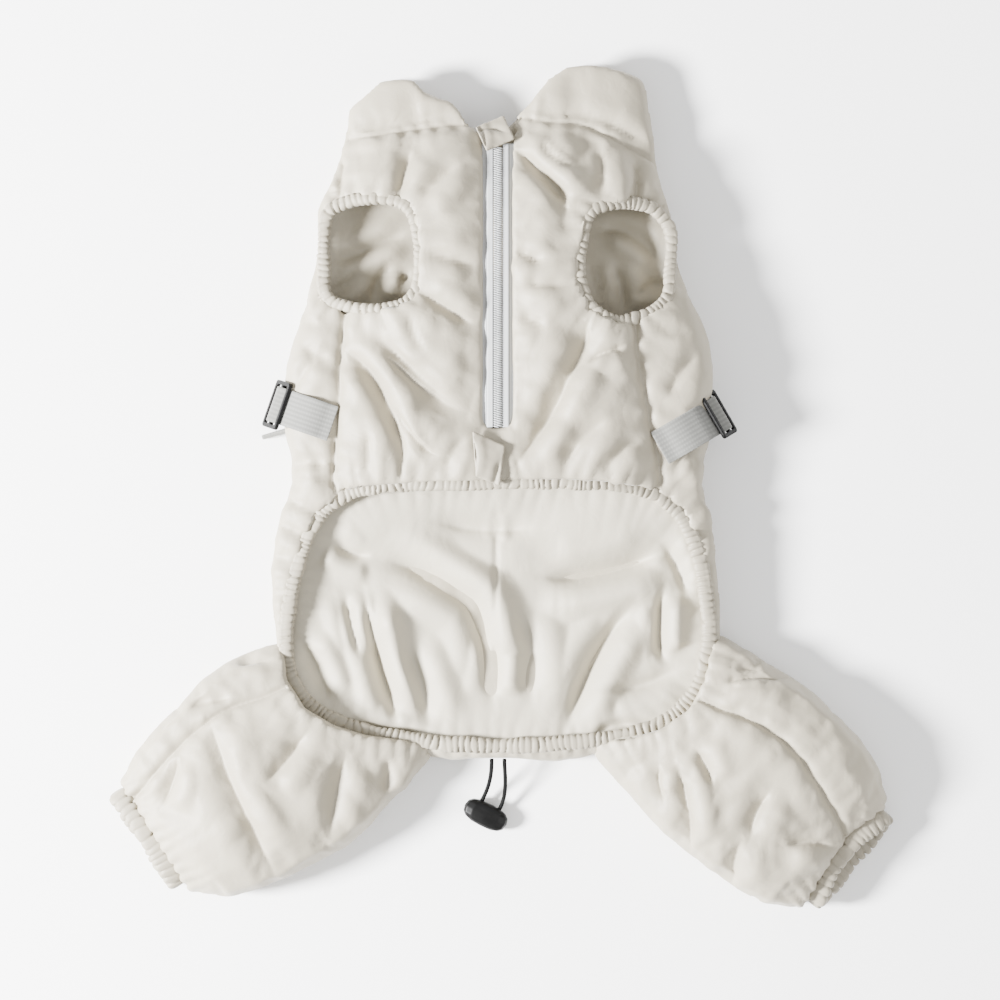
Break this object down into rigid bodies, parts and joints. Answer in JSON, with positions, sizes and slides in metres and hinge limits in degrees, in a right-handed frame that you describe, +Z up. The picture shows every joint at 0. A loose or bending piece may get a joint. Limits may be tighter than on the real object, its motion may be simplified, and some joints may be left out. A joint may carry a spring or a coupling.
{
  "type": "dog jumpsuit",
  "caption": "Padded light grey dog jumpsuit, lying belly up, with a chest zip, elastic openings, side straps and a tail drawcord.",
  "frame": {"origin": "on the floor under the middle of the garment as it lies on its back", "axes": "+X towards the right of the picture, +Y towards the neck, +Z up, out of the belly side"},
  "size_m": [0.4333, 0.4653, 0.0472],
  "materials": {
    "shell_cloth": "satin",
    "lining_cloth": "matte",
    "zip_tape": "matte",
    "zip_coil": "matte",
    "webbing": "matte",
    "black_plastic": "satin",
    "cord": "matte"
  },
  "bodies": {
    "root": {"back_panel": "shell_cloth", "chest_panel_left": "shell_cloth", "chest_panel_right": "shell_cloth", "collar_left": "shell_cloth", "collar_right": "shell_cloth", "belly_binding": "shell_cloth", "armhole_binding_left": "shell_cloth", "armhole_binding_right": "shell_cloth", "leg_left_outer": "shell_cloth", "leg_left_inner": "shell_cloth", "leg_right_outer": "shell_cloth", "leg_right_inner": "shell_cloth", "cuff_left": "shell_cloth", "cuff_right": "shell_cloth", "zip_top_tab": "shell_cloth", "zip_end_tab": "shell_cloth", "back_lining": "lining_cloth", "zip_tape_left": "zip_tape", "zip_tape_right": "zip_tape", "zip_coil": "zip_coil", "strap_left": "webbing", "strap_right": "webbing", "strap_end_left": "webbing", "slider_left": "black_plastic", "slider_right": "black_plastic", "toggle": "black_plastic", "drawcord": "cord"}
  },
  "joints": []
}
